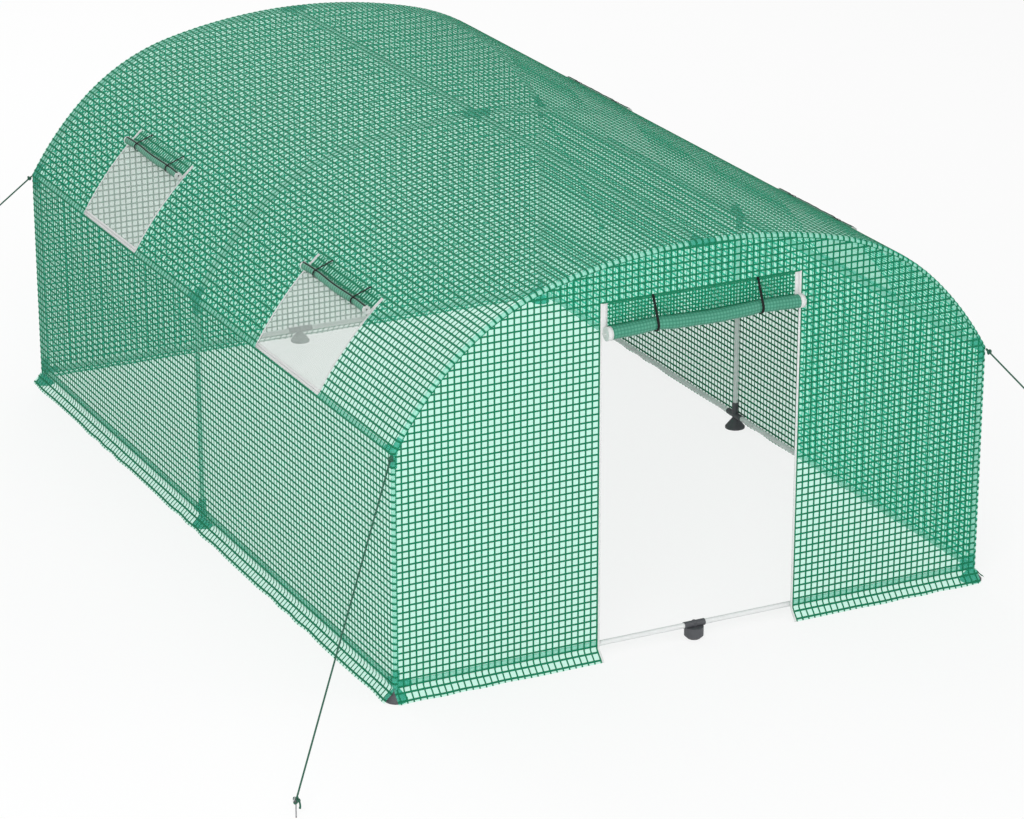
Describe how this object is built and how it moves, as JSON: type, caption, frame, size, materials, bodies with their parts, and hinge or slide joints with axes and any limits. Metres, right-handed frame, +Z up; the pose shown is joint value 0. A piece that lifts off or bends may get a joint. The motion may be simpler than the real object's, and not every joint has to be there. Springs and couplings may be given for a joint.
{
  "type": "polytunnel greenhouse",
  "caption": "Walk-in tunnel greenhouse: arched tube frame under green mesh-reinforced film, with a rolled-up front door, roll-up roof windows, ground skirts and corner guy ropes.",
  "frame": {"origin": "on the ground, at the centre of the tunnel's floor", "axes": "+Z up, +Y along the tunnel from the front door to the rear wall, +X to the right seen from the front"},
  "size_m": [4.74, 6.24, 1.9198],
  "materials": {
    "white_tube": "white powder coat, satin",
    "grey_plastic": "moulded dark grey, matt",
    "green_film": "clear film with woven green reinforcing threads",
    "window_screen": "fine white insect screen",
    "white_tape": "woven white edging tape",
    "black_webbing": "woven black webbing",
    "green_rope": "twisted dark green cord",
    "steel_wire": "galvanised wire"
  },
  "bodies": {
    "root": {"left_legs": "white_tube", "right_legs": "white_tube", "front_arch": "white_tube", "middle_arch": "white_tube", "rear_arch": "white_tube", "ridge_pole": "white_tube", "left_eave_rail": "white_tube", "right_eave_rail": "white_tube", "front_base_rail": "white_tube", "rear_base_rail": "white_tube", "left_base_rail": "white_tube", "right_base_rail": "white_tube", "left_eave_connectors": "grey_plastic", "right_eave_connectors": "grey_plastic", "ridge_connectors": "grey_plastic", "left_feet": "grey_plastic", "right_feet": "grey_plastic", "front_centre_foot": "grey_plastic", "rear_centre_foot": "grey_plastic", "left_side_cover": "green_film", "right_side_cover": "green_film", "left_roof_cover": "green_film", "right_roof_cover": "green_film", "front_wall_left": "green_film", "front_wall_right": "green_film", "front_wall_header": "green_film", "rear_wall": "green_film", "left_skirt": "green_film", "right_skirt": "green_film", "front_skirts": "green_film", "rear_skirt": "green_film", "door_flap": "green_film", "door_roll": "green_film", "left_window_rolls": "green_film", "right_window_rolls": "green_film", "left_window_screens": "window_screen", "right_window_screens": "window_screen", "left_window_tapes": "white_tape", "right_window_tapes": "white_tape", "door_zips": "white_tape", "left_window_ties": "black_webbing", "right_window_ties": "black_webbing", "door_ties": "black_webbing", "guy_ropes": "green_rope", "guy_pegs": "steel_wire"}
  },
  "joints": []
}
